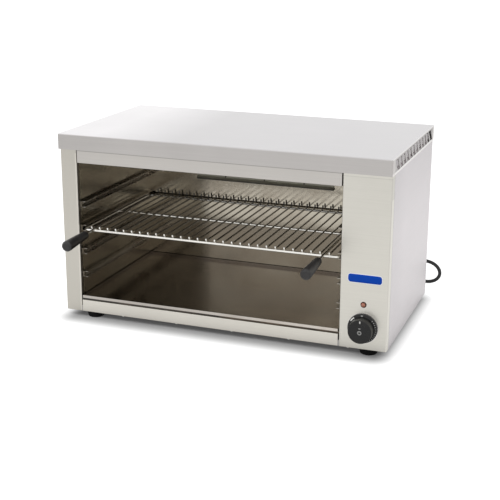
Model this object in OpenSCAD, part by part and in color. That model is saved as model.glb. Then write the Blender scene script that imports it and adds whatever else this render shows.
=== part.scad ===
// Open-fronted electric cheese melter: a stainless cabinet with a wire rack on C-shaped runners,
// tubular heating elements under the ceiling, a crumb tray and one regulator knob.
// Millimetres, +Z up, front towards -Y. The origin is on the table, in the middle of the
// cabinet's width and midway between the handle tips and the back of the cover.

/* [Casing] */
// Width over the two side panels
body_w = 797.2; // [720:0.2:900]
// Depth from the front face to the back panel
body_d = 426; // [400:1:480]
// Height of the casing between the feet and the cover sheet
body_h = 434.8; // [425:0.2:480]
// Thickness of the outer sheets
sheet_t = 1.2; // [0.8:0.1:1.5]
// Thickness of the liner sheets
liner_t = 1; // [0.8:0.1:1.4]
// Play between two sheets that lie against each other
sheet_gap = 0.2; // [0.1:0.05:0.3]
// Outside bend radius of the sheets
bend_r = 3; // [2:0.5:5]
// Outside bend radius along the edges of the opening
edge_r = 1.6; // [1.5:0.1:3]
// Depth of the folded flanges that stiffen a sheet
flange_w = 12; // [8:1:16]

/* [Front] */
// Width of the left front post
post_w = 41.6; // [34:0.2:60]
// Width of the control panel
panel_w = 109.6; // [96:0.2:130]
// How far the control panel wraps round the right-hand side
panel_wrap = 20; // [12:1:30]
// Depth of the folds beside the opening
return_d = 12; // [10:1:20]
// Height of the upper fascia, most of it behind the cover's lip
fascia_h = 67.8; // [60:0.2:75]
// Height of the lower rail
rail_h = 28.4; // [24:0.2:36]
// Slit between the lower rail or the fascia and the pieces beside it
front_slit = 2; // [1:0.25:3]
// Seam between the control panel and the right-hand side panel
seam_gap = 1; // [0.2:0.1:2]

/* [Cover] */
// Height of the cover's lip
lip_h = 37; // [30:1:42]
// How far the lip stands in front of the casing
lip_front = 8; // [4:1:14]
// How far the lip stands behind the casing
lip_back = 4; // [3:0.5:8]
// Fold along the lower edge of the front lip
hem_d = 5; // [3:0.5:6]
// Height of the vent slots in the side lips
vent_h = 26; // [18:1:28]
// Width of one vent slot, along the lip
vent_w = 21; // [8:1:24]
// Distance from slot to slot
vent_pitch = 32; // [24:1:40]
// Lean of the slots, as the shift from foot to head
vent_lean = 24; // [0:1:30]
// Solid stretch of lip before the first and after the last slot
vent_margin = 20; // [14:1:40]
// How far the side panels' upper rims stand in behind the slots
rim_in = 4; // [4:0.5:12]

/* [Chamber] */
// Gap between the lower rail and the chamber floor, seen as a dark line
floor_step = 3.9; // [1.5:0.1:5]
// Room between the chamber's back wall and the casing's back face
back_room = 35; // [26:1:50]
// Height of the chamber ceiling over the opening's upper edge
ceiling_rise = 18; // [12:1:24]
// Thickness of the insulation on the ceiling
slab_t = 22; // [15:1:26]

/* [Runners] */
// Number of rack levels
level_count = 4; // [2:1:4]
// Distance from level to level
level_pitch = 58; // [50:1:62]
// Height of the lowest runner's middle above the chamber floor
level_first = 56.5; // [45:0.5:70]
// Height of a runner's channel
runner_h = 14; // [13:0.5:18]
// Depth of a runner's channel
runner_w = 11; // [9:0.5:13]
// Distance of the runners' front ends behind the front face
runner_setback = 14; // [13:1:40]
// Gap between a runner and the back wall
runner_end_gap = 6; // [3:1:12]
// Level that carries the rack, counted from the bottom
rack_level = 3; // [1:1:3]

/* [Rack] */
// Thickness of the frame wire
frame_wire = 6; // [5:0.5:7]
// Thickness of the bars
bar_wire = 4; // [3:0.25:5]
// Distance from bar to bar
bar_pitch = 21; // [16:1:30]
// Play of the rack inside the runners, on each side
rack_play = 1.6; // [1:0.1:3]
// Distance of the rack's front wire behind the front face
rack_setback = 13; // [11:1:14]
// Gap between the rack's back wire and the back wall
rack_back_gap = 13; // [12:1:20]
// Bend radius of the frame's corners
rack_corner_r = 12; // [8:1:20]
// Height of the bars' turned-up front ends over the frame wire
bar_tip_front = 7.5; // [5.8:0.1:10]
// Height of the bars' turned-up back ends over the frame wire
bar_tip_back = 12; // [8:0.5:16]
// Vertical play between a runner and the rack
seat_gap = 0.3; // [0.2:0.05:0.4]
// Gap left between two wires at a spot weld
weld_gap = 0.05; // [0.02:0.01:0.1]

/* [Handles] */
// Room between each handle and the rack's side, to which the nearest gap between two bars is taken
handle_inset = 36; // [30:1:100]
// Thickness of the handle rod
rod_d = 6; // [5:0.5:7]
// Downward tilt of the handles, in degrees
handle_tilt = 2.6; // [1:0.2:6]
// Distance of the grip in front of the front face
grip_gap = 40; // [30:1:60]
// Length of a grip
grip_len = 94; // [70:1:120]
// Largest diameter of a grip, near its front end
grip_d = 25; // [20:0.5:30]
// Diameter of the grip where the rod enters
grip_rear_d = 18.5; // [14:0.5:20]
// Diameter of the grip's flat front end
grip_end_d = 16; // [12:0.5:18]
// Depth of the rod's bore in the grip
grip_bore = 70; // [40:1:80]

/* [Crumb tray] */
// Height of the tray's walls
tray_h = 6.5; // [5:0.5:10]
// Gap between the tray and the opening, on each side
tray_side_gap = 2.5; // [1.5:0.5:5]
// Distance of the tray's front wall behind the front face
tray_setback = 1; // [0:0.5:3]
// Gap between the tray and the back wall
tray_back_gap = 3; // [2:0.5:6]

/* [Heating] */
// Diameter of the tubular elements
element_d = 8.5; // [6.5:0.5:10]
// Distance between the two legs of an element
element_legs = 50; // [40:1:60]
// Distance of the first leg behind the front face
element_first = 101; // [90:1:115]
// Distance of the last leg in front of the chamber's back wall
element_last = 30; // [20:1:50]
// Height of the elements below the ceiling
element_drop = 32; // [24:1:38]
// Gap between the elements' bends and the left wall
element_end_gap = 40; // [25:1:80]
// Length of the elements' cold ends in the wiring bay
cold_end = 34; // [28:1:40]
// Thickness of the plates that carry the elements
bracket_t = 1.5; // [1:0.25:2.5]

/* [Regulator] */
// Height of the knob's axis above the casing's lower edge
knob_z = 50; // [42:1:80]
// Diameter of the knob's skirt
skirt_d = 68; // [62:1:72]
// Thickness of the skirt at its rim
skirt_t = 5; // [3.5:0.5:7]
// Diameter of the knob's grip
knob_d = 56; // [44:1:58]
// Height of the knob over its skirt's back face
knob_h = 28; // [20:1:32]
// Diameter of the spindle
spindle_d = 6; // [5:0.25:7]
// Radial clearance of the turning spindle in its bush
spindle_clear = 0.08; // [0.05:0.01:0.1]
// Width of the regulator's square housing
regulator_w = 44; // [38:1:50]
// Depth of the regulator's housing
regulator_d = 32; // [24:1:40]

/* [Pilot lamp] */
// Height of the lamp above the knob's axis
lamp_rise = 54.5; // [48:0.5:80]
// Diameter of the lamp's rim
lamp_rim_d = 14; // [12:0.5:18]
// Diameter of the lamp's lens
lamp_lens_d = 9; // [8:0.5:11]

/* [Feet] */
// Height of the feet
foot_h = 15; // [12:1:20]
// Diameter of a foot at its top
foot_d = 43; // [32:1:48]
// Distance of the left feet's axes from the left side
foot_left = 68; // [40:1:100]
// Distance of the right feet's axes from the right side
foot_right = 45; // [30:1:100]
// Distance of the feet's axes behind the front and before the back
foot_inset = 22; // [22:1:80]

/* [Mains lead] */
// Diameter of the mains lead
cord_d = 9.2; // [8:0.1:9.5]

/* [Hidden] */
$fn = 48;
tiny = 0.01;

// Handle tips in front, cover's back lip behind: the origin lies midway between them,
// to the nearest hundredth.
handle_reach = grip_gap + cos(handle_tilt) * grip_len + sin(handle_tilt) * grip_end_d / 2;
front_y = round(50 * (handle_reach - body_d - lip_back)) / 100;
back_y = front_y + body_d;
base_z = foot_h;
top_z = base_z + body_h;
half_w = body_w / 2;

// The opening and the chamber behind it
open_left = -half_w + post_w;
open_right = half_w - panel_w;
open_w = open_right - open_left;
open_mid = (open_left + open_right) / 2;
open_top = top_z - fascia_h;
rail_top = base_z + rail_h;
floor_top = rail_top + floor_step + liner_t;
floor_lip = 2;
ceiling_z = open_top + ceiling_rise;
wall_front = front_y + return_d + sheet_gap;
back_wall_y = back_y - back_room;
bay_left = open_right + sheet_t;

// The casing's inner faces
side_in = half_w - sheet_t;
back_in = back_y - sheet_t;
side_top = top_z + sheet_t - lip_h + 3;

// Cover
cover_half_w = half_w + sheet_gap + sheet_t;
cover_front = front_y - lip_front;
cover_back = back_y + lip_back;
cover_top = top_z + sheet_t;
lip_low = cover_top - lip_h;
vent_run = cover_back - cover_front - 2 * vent_margin;
vent_count = floor((vent_run - vent_w - vent_lean) / vent_pitch) + 1;
vent_low = lip_low + (lip_h - vent_h) / 2;

// Rack: the frame wire lies in the channel's lower flange
rack_half_w = open_w / 2 - liner_t - rack_play;
function level_z(level) = floor_top + level_first + (level - 1) * level_pitch;
frame_z = level_z(rack_level) - runner_h / 2 + liner_t + seat_gap + frame_wire / 2;
rack_front = front_y + rack_setback;
rack_back = back_wall_y - rack_back_gap;
rack_mid = (rack_front + rack_back) / 2;
bar_z = frame_z + (frame_wire + bar_wire) / 2 + weld_gap;
bar_half_count = floor((rack_half_w - frame_wire - bar_wire) / bar_pitch);
bar_bend = 3.5;
rod_z = frame_z + (frame_wire + rod_d) / 2 + weld_gap;
rod_clear = 0.1;
rod_lap = 1;
rod_step = 0.1;
rod_bend_r = 60;
rod_bend_y = rack_front - frame_wire - rod_d / 2;
handle_x = (floor((rack_half_w - handle_inset) / bar_pitch) + 0.5) * bar_pitch;

// Heating elements
element_z = ceiling_z - element_drop;
element_bend_x = open_left + element_end_gap + element_legs / 2;
element_pitch = (back_wall_y - element_last - front_y - element_first - element_legs) / 2;
element_leg_ys = [for (i = [0:2], leg = [0:1])
    front_y + element_first + i * element_pitch + leg * element_legs];
bracket_end = 14;
bracket_low = 10;
bracket_xs = [open_left + open_w * 0.28, open_left + open_w * 0.72];
gland_d = 12;
gland_hex = 17;
gland_nut = 4;
gland_in = 5;
gland_out = 9;
insulator_d = 11;
insulator_len = 12;
tab_w = 6.3;

// Regulator and lamp share the control panel's middle line
knob_x = (open_right + half_w) / 2;
knob_axis_z = base_z + knob_z;
lamp_z = knob_axis_z + lamp_rise;
bezel_t = 1.2;
skirt_back = front_y - bezel_t - seat_gap;
bush_d = 10;
bush_out = 7;
nut_t = 2.5;
lamp_hole_d = lamp_lens_d + 0.6;

// Tray
tray_left = open_left + tray_side_gap;
tray_right = open_right - tray_side_gap;
tray_front = front_y + tray_setback;
tray_back = back_wall_y - tray_back_gap;

// Flue hood on the back wall, level with the top runner
hood_half_w = 188;
hood_mid = open_mid + 6;
hood_z = level_z(level_count);
hood_h = 12;
hood_d = 8;
hood_rivet_pitch = 108;
flue_slot_len = 80;

// Feet
foot_xs = [-half_w + foot_left, half_w - foot_right];
foot_ys = [front_y + foot_inset, back_y - foot_inset];
foot_bolt_d = 6;

// Screws that hold the sheets
screw_d = 3.8;
screw_hole = 4.2;
screw_head_d = 7.5;
screw_head_h = 2;

// Mains lead: gland on the back panel, loose loop beside the corner, then along the table to
// the coil close behind the cabinet. The points are the middle of the lead, as steps sideways and
// backwards from the gland's place on the panel, with the height above the table.
gland_side_gap = 58.6;
gland_x = half_w - gland_side_gap;
gland_z = 72;
gland_hole_d = 16;
gland_nut_t = 6;
gland_nut_d = 24;
gland_dome = 9;
gland_sleeve = 24;
cord_start = back_y + sheet_gap + gland_nut_t + gland_dome + gland_sleeve;
lead_steps = [
    [0, 54, 72], [5, 73, 72], [19, 87, 72], [38, 92, 72], [56.6, 94, 67.5],
    [70, 100, 55.3], [75, 108, 38.5], [70, 116, 21.8], [56.6, 122, 9.5],
    [38, 124, 5], [19, 125.4, 4.7], [0, 127.4, 4.7], [-19, 129.6, 4.7], [-38, 131.2, 4.7],
    [-56, 131.6, 4.7], [-73, 131.6, 4.7], [-89, 131.6, 4.7]
];
coil_step_to = [-106, 72];
coil_r = 50;
coil_pitch = 9.6;
coil_rows = 3;
coil_layers = 2;
tail_steps = [[-112, 131.6, 14.4], [-130, 132, 14.6], [-148, 133, 15.6], [-164, 134, 17.3], [-178, 134.5, 18.5]];
plug_d = 37;
plug_sleeve = 24;
plug_neck = 12;
plug_face = 16;
pin_len = 18;
function from_gland(step) = [gland_x + step.x, back_y + step.y, step.z];

// Terminal block, on the base behind the gland
terminal_size = [52, 24, 20];
terminal_side_gap = 31.4;
terminal_back_gap = 50;
terminal_pitch = 16;

// ---- general shapes ----

// A box between two corners
module block(from, to) { translate(from) cube(to - from); }

// A rectangle between two corners with round corners
module round_rect(from, to, r) {
    size = to - from;
    translate(from + [r, 0]) square([size.x - 2 * r, size.y]);
    translate(from + [0, r]) square([size.x, size.y - 2 * r]);
    for (x = [r, size.x - r], y = [r, size.y - r]) translate(from + [x, y]) circle(r);
}

// The outline of a sheet bent round a rectangle
module bent_outline(from, to, t, r = bend_r) {
    difference() {
        round_rect(from, to, r);
        round_rect(from + [t, t], to - [t, t], r - t);
    }
}

// A box whose edges are all rounded, open to mitres at the corners
module soft_box(from, to, r) {
    size = to - from;
    translate(from) intersection() {
        linear_extrude(size.z) round_rect([0, 0], [size.x, size.y], r);
        translate([0, size.y, 0]) rotate([90, 0, 0])
            linear_extrude(size.y) round_rect([0, -r * 2], [size.x, size.z], r);
        rotate([90, 0, 90])
            linear_extrude(size.x) round_rect([0, -r * 2], [size.y, size.z], r);
    }
}

// A cylinder that starts at a point and runs along an axis, "x", "y" or "z"
module rod(at, len, d, axis = "z") {
    turn = axis == "x" ? [0, 90, 0] : axis == "y" ? [-90, 0, 0] : [0, 0, 0];
    translate(at) rotate(turn) cylinder(h = len, d = d);
}

// A pan-head screw whose head lies on a face that looks along +Y
module screw_y(at, len) {
    rod(at - [0, len, 0], len, screw_d, "y");
    rod(at, screw_head_h * 0.6, screw_head_d, "y");
    translate(at + [0, screw_head_h * 0.6, 0]) rotate([-90, 0, 0])
        cylinder(h = screw_head_h * 0.4, d1 = screw_head_d, d2 = screw_head_d * 0.7);
}

// ---- casing ----

// One row of leaning vent slots, cut through a side lip at x
module vent_row(x) {
    first = cover_front + vent_margin + (vent_run - (vent_count - 1) * vent_pitch - vent_w - vent_lean) / 2;
    for (i = [0:vent_count - 1])
        translate([x, first + i * vent_pitch + vent_lean, vent_low]) rotate([90, 0, 90])
            linear_extrude(sheet_t * 4, center = true)
                polygon([[0, 0], [vent_w, 0], [vent_w - vent_lean, vent_h], [-vent_lean, vent_h]]);
}

// Places along the cover's back lip that take a screw
cover_screw_inset = 60;
cover_screw_xs = [for (i = [0:3]) (i / 3 - 0.5) * (body_w - 2 * cover_screw_inset)];
cover_screw_z = (lip_low + cover_top) / 2;
spacer_d = 14;

module top_cover() color([0.86, 0.85, 0.85]) {
    inner = [cover_half_w - sheet_t, 0, 0];
    difference() {
        soft_box([-cover_half_w, cover_front, lip_low], [cover_half_w, cover_back, cover_top], bend_r);
        soft_box([-inner.x, cover_front + sheet_t, lip_low - sheet_t],
            [inner.x, cover_back - sheet_t, cover_top - sheet_t], bend_r - sheet_t);
        vent_row(cover_half_w);
        vent_row(-cover_half_w);
        for (x = cover_screw_xs) rod([x, cover_back - 2 * sheet_t, cover_screw_z], 4 * sheet_t, screw_hole, "y");
    }
    block([-inner.x + bend_r, cover_front + sheet_t - tiny, lip_low],
        [inner.x - bend_r, cover_front + hem_d, lip_low + sheet_t]);
}

// Screws join the back lip to spacers that are pressed from the back panel
module cover_screws() color([0.75, 0.75, 0.75])
    for (x = cover_screw_xs) screw_y([x, cover_back, cover_screw_z], lip_back + 8);

// Folds that point inwards start above the base plate's rim
fold_low = base_z + flange_w + sheet_t + sheet_gap;

// A side panel's upper rim: it steps in behind the vents and stands up again, so air can pass over it
rim_from = front_y + return_d + 2;
rim_to = back_in - flange_w;
rim_top = top_z - 6;
module side_rim(side) mirror([side < 0 ? 1 : 0, 0, 0]) {
    out = side_in - rim_in;
    block([out - sheet_t, front_y + panel_wrap + seam_gap, side_top - sheet_t], [half_w - tiny, rim_to, side_top]);
    block([out - sheet_t, rim_from, side_top - sheet_t], [out, rim_to, rim_top]);
}

module left_side_panel() color([0.85, 0.83, 0.82]) difference() {
    from = [-half_w, front_y];
    to = [open_left, back_in - sheet_gap];
    union() {
        // Side wall with its folds
        translate([0, 0, base_z]) linear_extrude(side_top - base_z) intersection() {
            bent_outline(from, to, sheet_t);
            translate(from - [1, 1]) square([flange_w + 1, body_d + 2]);
        }
        // Front post, which reaches up to the cover beside its bend
        translate([0, 0, base_z]) linear_extrude(body_h) intersection() {
            bent_outline(from, to, sheet_t);
            translate(from + [bend_r, -1]) square([post_w, return_d + 1]);
        }
        translate([0, 0, base_z]) linear_extrude(side_top - base_z) intersection() {
            bent_outline(from, to, sheet_t);
            translate(from - [1, 1]) square([post_w + 2, return_d + 1]);
        }
        block([-half_w, back_in - sheet_gap - bend_r, base_z], [-side_in, back_y, side_top]);
        side_rim(-1);
    }
    block([-side_in, front_y + sheet_t, base_z - 1], [open_left + 1, front_y + return_d + 1, fold_low]);
    block([-side_in, back_in - 2 * bend_r, base_z - 1], [open_left, back_in, fold_low]);
    back_screws_at() rod([0, -4 * sheet_t, 0], 4 * sheet_t, screw_hole, "y");
}

module right_side_panel() color([0.85, 0.83, 0.84]) {
    seam_y = front_y + panel_wrap + seam_gap;
    difference() {
        union() {
            translate([0, 0, base_z]) linear_extrude(side_top - base_z) intersection() {
                bent_outline([open_right, seam_y - 3 * bend_r], [half_w, back_in - sheet_gap], sheet_t);
                translate([half_w - flange_w, seam_y]) square([flange_w + 1, body_d]);
            }
            block([side_in, back_in - sheet_gap - bend_r, base_z], [half_w, back_y, side_top]);
            side_rim(1);
        }
        block([open_right, back_in - 2 * bend_r, base_z - 1], [side_in, back_in, fold_low]);
        back_screws_at() rod([0, -4 * sheet_t, 0], 4 * sheet_t, screw_hole, "y");
    }
    // Tongue behind the control panel's wrap
    tongue_out = side_in - sheet_gap;
    block([tongue_out - sheet_t, seam_y - flange_w, base_z + 2 * flange_w],
        [tongue_out, seam_y + flange_w, side_top]);
    block([tongue_out - tiny, seam_y + tiny, base_z + 2 * flange_w],
        [side_in + tiny, seam_y + flange_w, side_top]);
}

back_screw_xs = [for (i = [0:4]) (i / 4 - 0.5) * (body_w - 4 * flange_w)];
back_screw_zs = [base_z + flange_w / 2 + sheet_t];
side_screw_low = 100;
side_screw_high = 62;
side_screw_run = side_top - side_screw_high - base_z - side_screw_low;
side_screw_zs = [for (i = [0:2]) base_z + side_screw_low + i * side_screw_run / 2];
back_slot_w = 5;
back_slot_h = 45;
back_slot_pitch = 16;
back_slot_drop = 20;

module back_panel() color([0.78, 0.77, 0.76]) difference() {
    union() {
        block([-side_in + sheet_gap, back_in, base_z], [side_in - sheet_gap, back_y, top_z]);
        for (x = cover_screw_xs)
            rod([x, back_y - tiny, cover_screw_z], lip_back - sheet_t, spacer_d, "y");
    }
    for (side = [-1, 1], i = [-6:6])
        translate([side * half_w / 2 + i * back_slot_pitch, 0, side_top - back_slot_drop])
            block([-back_slot_w / 2, back_in - 1, -back_slot_h], [back_slot_w / 2, back_y + 1, 0]);
    rod([gland_x, back_in - 1, gland_z], sheet_t + 2, gland_hole_d, "y");
    back_screws_at() rod([0, -3 * sheet_t, 0], 6 * sheet_t, screw_hole, "y");
    for (x = cover_screw_xs) rod([x, back_in - 1, cover_screw_z], lip_back + sheet_t + 2, screw_hole, "y");
}

// Places on the back panel's outside where screws enter the base's and the sides' flanges
module back_screws_at() {
    for (x = back_screw_xs) translate([x, back_y, back_screw_zs[0]]) children();
    for (side = [-1, 1], z = side_screw_zs)
        translate([side * (half_w - flange_w / 2 - sheet_t), back_y, z]) children();
}

module back_screws() color([0.75, 0.75, 0.75]) back_screws_at() screw_y([0, 0, 0], 7);

base_slot_pitch = 18;

// A shallow pan between the side panels
module base_plate() color([0.7, 0.69, 0.68]) difference() {
    gap = sheet_gap;
    from = [-side_in + gap, front_y + sheet_t + gap, base_z];
    to = [side_in - gap, back_in - gap, base_z + flange_w + sheet_t];
    block(from, to);
    block(from + [sheet_t, sheet_t, sheet_t], to - [sheet_t, sheet_t, -1]);
    for (x = foot_xs, y = foot_ys) rod([x, y, base_z - 1], sheet_t + 2, foot_bolt_d + 0.4);
    back_screws_at() rod([0, -4 * sheet_t, 0], 4 * sheet_t, screw_hole, "y");
    // Air slots under the wiring bay
    for (i = [0:5]) translate([0, front_y + body_d / 3 + i * base_slot_pitch, base_z])
        block([bay_left + base_slot_pitch, 0, -1], [side_in - base_slot_pitch, base_slot_pitch / 3, sheet_t + 1]);
}

// ---- front ----

module upper_fascia() color([0.72, 0.7, 0.69]) {
    left = open_left + front_slit;
    right = open_right - front_slit;
    translate([left, 0, 0]) rotate([90, 0, 90]) linear_extrude(right - left) intersection() {
        bent_outline([front_y, open_top], [front_y + 2 * return_d, top_z], sheet_t, edge_r);
        translate([front_y - 1, open_top - 1]) square([return_d + 1, fascia_h + 2]);
    }
}

module lower_rail() color([0.82, 0.8, 0.77]) {
    left = open_left + front_slit;
    right = open_right - front_slit;
    translate([left, 0, 0]) rotate([90, 0, 90]) linear_extrude(right - left) intersection() {
        bent_outline([front_y, base_z - 2 * bend_r], [front_y + 2 * return_d, rail_top], sheet_t, edge_r);
        union() {
            translate([front_y - 1, base_z]) square([sheet_t + 1, rail_h]);
            translate([front_y - 1, rail_top - bend_r]) square([flange_w + 1, bend_r + 1]);
        }
    }
}

module control_panel() color([0.82, 0.8, 0.77]) difference() {
    union() {
        translate([0, 0, base_z]) linear_extrude(body_h) intersection() {
            bent_outline([open_right, front_y], [half_w, front_y + 3 * panel_wrap], sheet_t);
            translate([open_right - 1, front_y - 1]) square([panel_w - bend_r + 1, return_d + 1]);
        }
        // The wrapped side ends lower, under the cover's lip
        translate([0, 0, base_z]) linear_extrude(side_top - base_z) intersection() {
            bent_outline([open_right, front_y], [half_w, front_y + 3 * panel_wrap], sheet_t);
            translate([half_w - 2 * bend_r, front_y - 1]) square([2 * bend_r + 1, panel_wrap + 1]);
        }
    }
    block([open_right - 1, front_y + sheet_t, base_z - 1], [side_in, front_y + return_d + 1, fold_low]);
    rod([knob_x, front_y - 1, knob_axis_z], sheet_t + 2, bush_d + 0.4, "y");
    rod([knob_x, front_y - 1, lamp_z], sheet_t + 2, lamp_hole_d, "y");
}

// ---- chamber ----

module chamber_left_wall() color([0.55, 0.52, 0.48]) {
    block([open_left - liner_t, wall_front, floor_top], [open_left, back_wall_y, ceiling_z]);
    block([open_left - flange_w, wall_front, ceiling_z - liner_t], [open_left, back_wall_y, ceiling_z]);
}

module chamber_right_wall() color([0.55, 0.52, 0.48]) difference() {
    union() {
        block([open_right, wall_front, floor_top], [open_right + liner_t, back_wall_y, ceiling_z]);
        block([open_right, wall_front, ceiling_z - liner_t],
            [open_right + flange_w, back_wall_y, ceiling_z]);
    }
    for (y = element_leg_ys) rod([open_right - 1, y, element_z], liner_t + 2, gland_d + 0.4, "x");
}

module chamber_back_wall() color([0.62, 0.6, 0.57]) difference() {
    union() {
        block([open_left - flange_w, back_wall_y, base_z + sheet_t],
            [open_right + flange_w, back_wall_y + liner_t, ceiling_z]);
        block([open_left - flange_w, back_wall_y, ceiling_z - liner_t],
            [open_right + flange_w, back_wall_y + flange_w, ceiling_z]);
    }
    // Flue slots behind the hood
    for (i = [-1:1])
        block([hood_mid + i * hood_rivet_pitch - flue_slot_len / 2, back_wall_y - 1, hood_z - hood_h / 2 + 1],
            [hood_mid + i * hood_rivet_pitch + flue_slot_len / 2, back_wall_y + liner_t + 1, hood_z - 1]);
    for (i = [-1:1]) rod([hood_mid + i * hood_rivet_pitch, back_wall_y - 1, hood_z + hood_h / 2 - 2],
        liner_t + 2, 2.4, "y");
}

module chamber_ceiling() color([0.7, 0.7, 0.7]) {
    block([open_left - flange_w, wall_front, ceiling_z],
        [open_right + flange_w, back_wall_y + flange_w, ceiling_z + liner_t]);
    // Apron behind the fascia
    block([open_left, wall_front, open_top], [open_right, wall_front + liner_t, ceiling_z + tiny]);
}

// A bench that stands on the base and leans on the lower rail's flange
module chamber_floor() color([0.45, 0.42, 0.38]) {
    front = front_y + edge_r + floor_lip;
    low = base_z + sheet_t;
    block([open_left, front, floor_top - liner_t], [open_right, back_wall_y, floor_top]);
    block([open_left, front, rail_top], [open_right, front + liner_t, floor_top - liner_t + tiny]);
    for (x = [open_left, open_right - liner_t])
        block([x, front_y + return_d, low], [x + liner_t, back_wall_y, floor_top - liner_t + tiny]);
}

module insulation_slab() color([0.82, 0.78, 0.62])
    block([open_left, wall_front + flange_w, ceiling_z + liner_t],
        [open_right, back_wall_y, ceiling_z + liner_t + slab_t]);

// A sloping hood with closed ends, open below
module flue_hood() color([0.75, 0.74, 0.71]) difference() {
    low = hood_z - hood_h / 2;
    high = hood_z + hood_h / 2;
    translate([hood_mid - hood_half_w, 0, 0]) rotate([90, 0, 90]) linear_extrude(2 * hood_half_w)
        polygon([[back_wall_y, high], [back_wall_y - liner_t, high], [back_wall_y - liner_t, high - 4],
            [back_wall_y - hood_d, low + 3], [back_wall_y - hood_d, low], [back_wall_y, low]]);
    translate([hood_mid - hood_half_w + liner_t, 0, 0]) rotate([90, 0, 90])
        linear_extrude(2 * (hood_half_w - liner_t))
            polygon([[back_wall_y + 1, high - 4 - liner_t], [back_wall_y - liner_t, high - 4 - liner_t],
                [back_wall_y - hood_d + liner_t, low + 3], [back_wall_y - hood_d + liner_t, low - 1],
                [back_wall_y + 1, low - 1]]);
    for (i = [-1:1]) rod([hood_mid + i * hood_rivet_pitch, back_wall_y - hood_d, high - 2], hood_d + 1, 2.4, "y");
}

module flue_hood_rivets() color([0.3, 0.28, 0.26])
    for (i = [-1:1]) translate([hood_mid + i * hood_rivet_pitch, 0, hood_z + hood_h / 2 - 2]) {
        rod([0, back_wall_y - liner_t, 0], 2 * liner_t, 2.2, "y");
        rod([0, back_wall_y - 2 * liner_t, 0], liner_t, 3.6, "y");
        rod([0, back_wall_y + liner_t, 0], liner_t, 3.4, "y");
    }

// A C-shaped channel whose back lies on the wall at x; side is 1 on the left wall, -1 on the right
module runner(x, side, level) color([0.5, 0.47, 0.43]) {
    z = level_z(level);
    from = front_y + runner_setback;
    len = back_wall_y - runner_end_gap - from;
    r = 2;
    translate([x, from, z]) mirror([side < 0 ? 1 : 0, 0, 0]) rotate([90, 0, 0]) mirror([0, 0, 1])
        linear_extrude(len) intersection() {
            bent_outline([0, -runner_h / 2], [2 * runner_w, runner_h / 2], liner_t, r);
            translate([-1, -runner_h]) square([runner_w + 1, 2 * runner_h]);
        }
}

// ---- heating ----

// A hairpin tube: two legs and a half-round bend at the left
module element(index) color([0.32, 0.33, 0.33]) {
    leg_a = element_leg_ys[2 * index];
    right = open_right + liner_t + cold_end;
    for (leg = [0, 1])
        rod([element_bend_x, leg_a + leg * element_legs, element_z], right - element_bend_x, element_d, "x");
    translate([element_bend_x, leg_a + element_legs / 2, element_z]) rotate([0, 0, 90])
        rotate_extrude(angle = 180) translate([element_legs / 2, 0]) circle(d = element_d);
}

// Two plates that hang from the ceiling and hold all the legs
module element_brackets() color([0.6, 0.6, 0.58])
    for (x = bracket_xs) difference() {
        union() {
            block([x, element_leg_ys[0] - bracket_end, element_z - bracket_low],
                [x + bracket_t, element_leg_ys[5] + bracket_end, ceiling_z]);
            block([x, element_leg_ys[0] - bracket_end, ceiling_z - bracket_t],
                [x + flange_w, element_leg_ys[5] + bracket_end, ceiling_z]);
        }
        for (y = element_leg_ys) rod([x - 1, y, element_z], bracket_t + 2, element_d + 2 * seat_gap, "x");
    }

// Screwed bushes that hold the cold ends in the right-hand wall, with a nut on each side
module element_glands() color([0.72, 0.6, 0.35])
    for (y = element_leg_ys) translate([0, y, element_z]) difference() {
        union() {
            rod([open_right - gland_in, 0, 0], gland_in + liner_t + gland_out, gland_d, "x");
            for (x = [open_right - gland_nut, open_right + liner_t])
                translate([x, 0, 0]) rotate([0, 90, 0]) cylinder(h = gland_nut, d = gland_hex, $fn = 6);
        }
        rod([open_right - gland_in - 1, 0, 0], gland_in + liner_t + gland_out + 2, element_d + 0.2, "x");
    }

// Ceramic collars on the tubes' ends
module element_insulators() color([0.93, 0.92, 0.88])
    for (y = element_leg_ys) translate([open_right + liner_t + cold_end, y, element_z]) difference() {
        rod([0, 0, 0], insulator_len, insulator_d, "x");
        rod([-1, 0, 0], insulator_len + 2, 4.2, "x");
    }

// Threaded pins with flat tabs that take the push-on connectors
module element_tabs() color([0.7, 0.7, 0.66])
    for (y = element_leg_ys) translate([open_right + liner_t + cold_end, y, element_z]) {
        rod([0, 0, 0], insulator_len + 2, 4, "x");
        block([insulator_len + 1, -0.4, -tab_w / 2], [insulator_len + 13, 0.4, tab_w / 2]);
    }

// ---- rack ----

module frame_corner(x, y, turn) translate([x, y, frame_z]) rotate([0, 0, turn])
    rotate_extrude(angle = 90) translate([rack_corner_r, 0]) circle(d = frame_wire);

// A wire loop with a cross wire in the middle, thinner by a hair than the wires it is welded to
cross_step = 0.2;
module rack_frame() {
    side_x = rack_half_w - frame_wire / 2;
    in_x = side_x - rack_corner_r;
    in_front = rack_front + rack_corner_r;
    in_back = rack_back - rack_corner_r;
    translate([open_mid, 0, 0]) {
        for (x = [-side_x, side_x]) rod([x, in_front, frame_z], in_back - in_front, frame_wire, "y");
        for (y = [rack_front, rack_back]) rod([-in_x, y, frame_z], 2 * in_x, frame_wire, "x");
        frame_corner(in_x, in_back, 0);
        frame_corner(-in_x, in_back, 90);
        frame_corner(-in_x, in_front, 180);
        frame_corner(in_x, in_front, 270);
        rod([-side_x, rack_mid, frame_z], 2 * side_x, frame_wire - cross_step, "x");
    }
}

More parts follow.
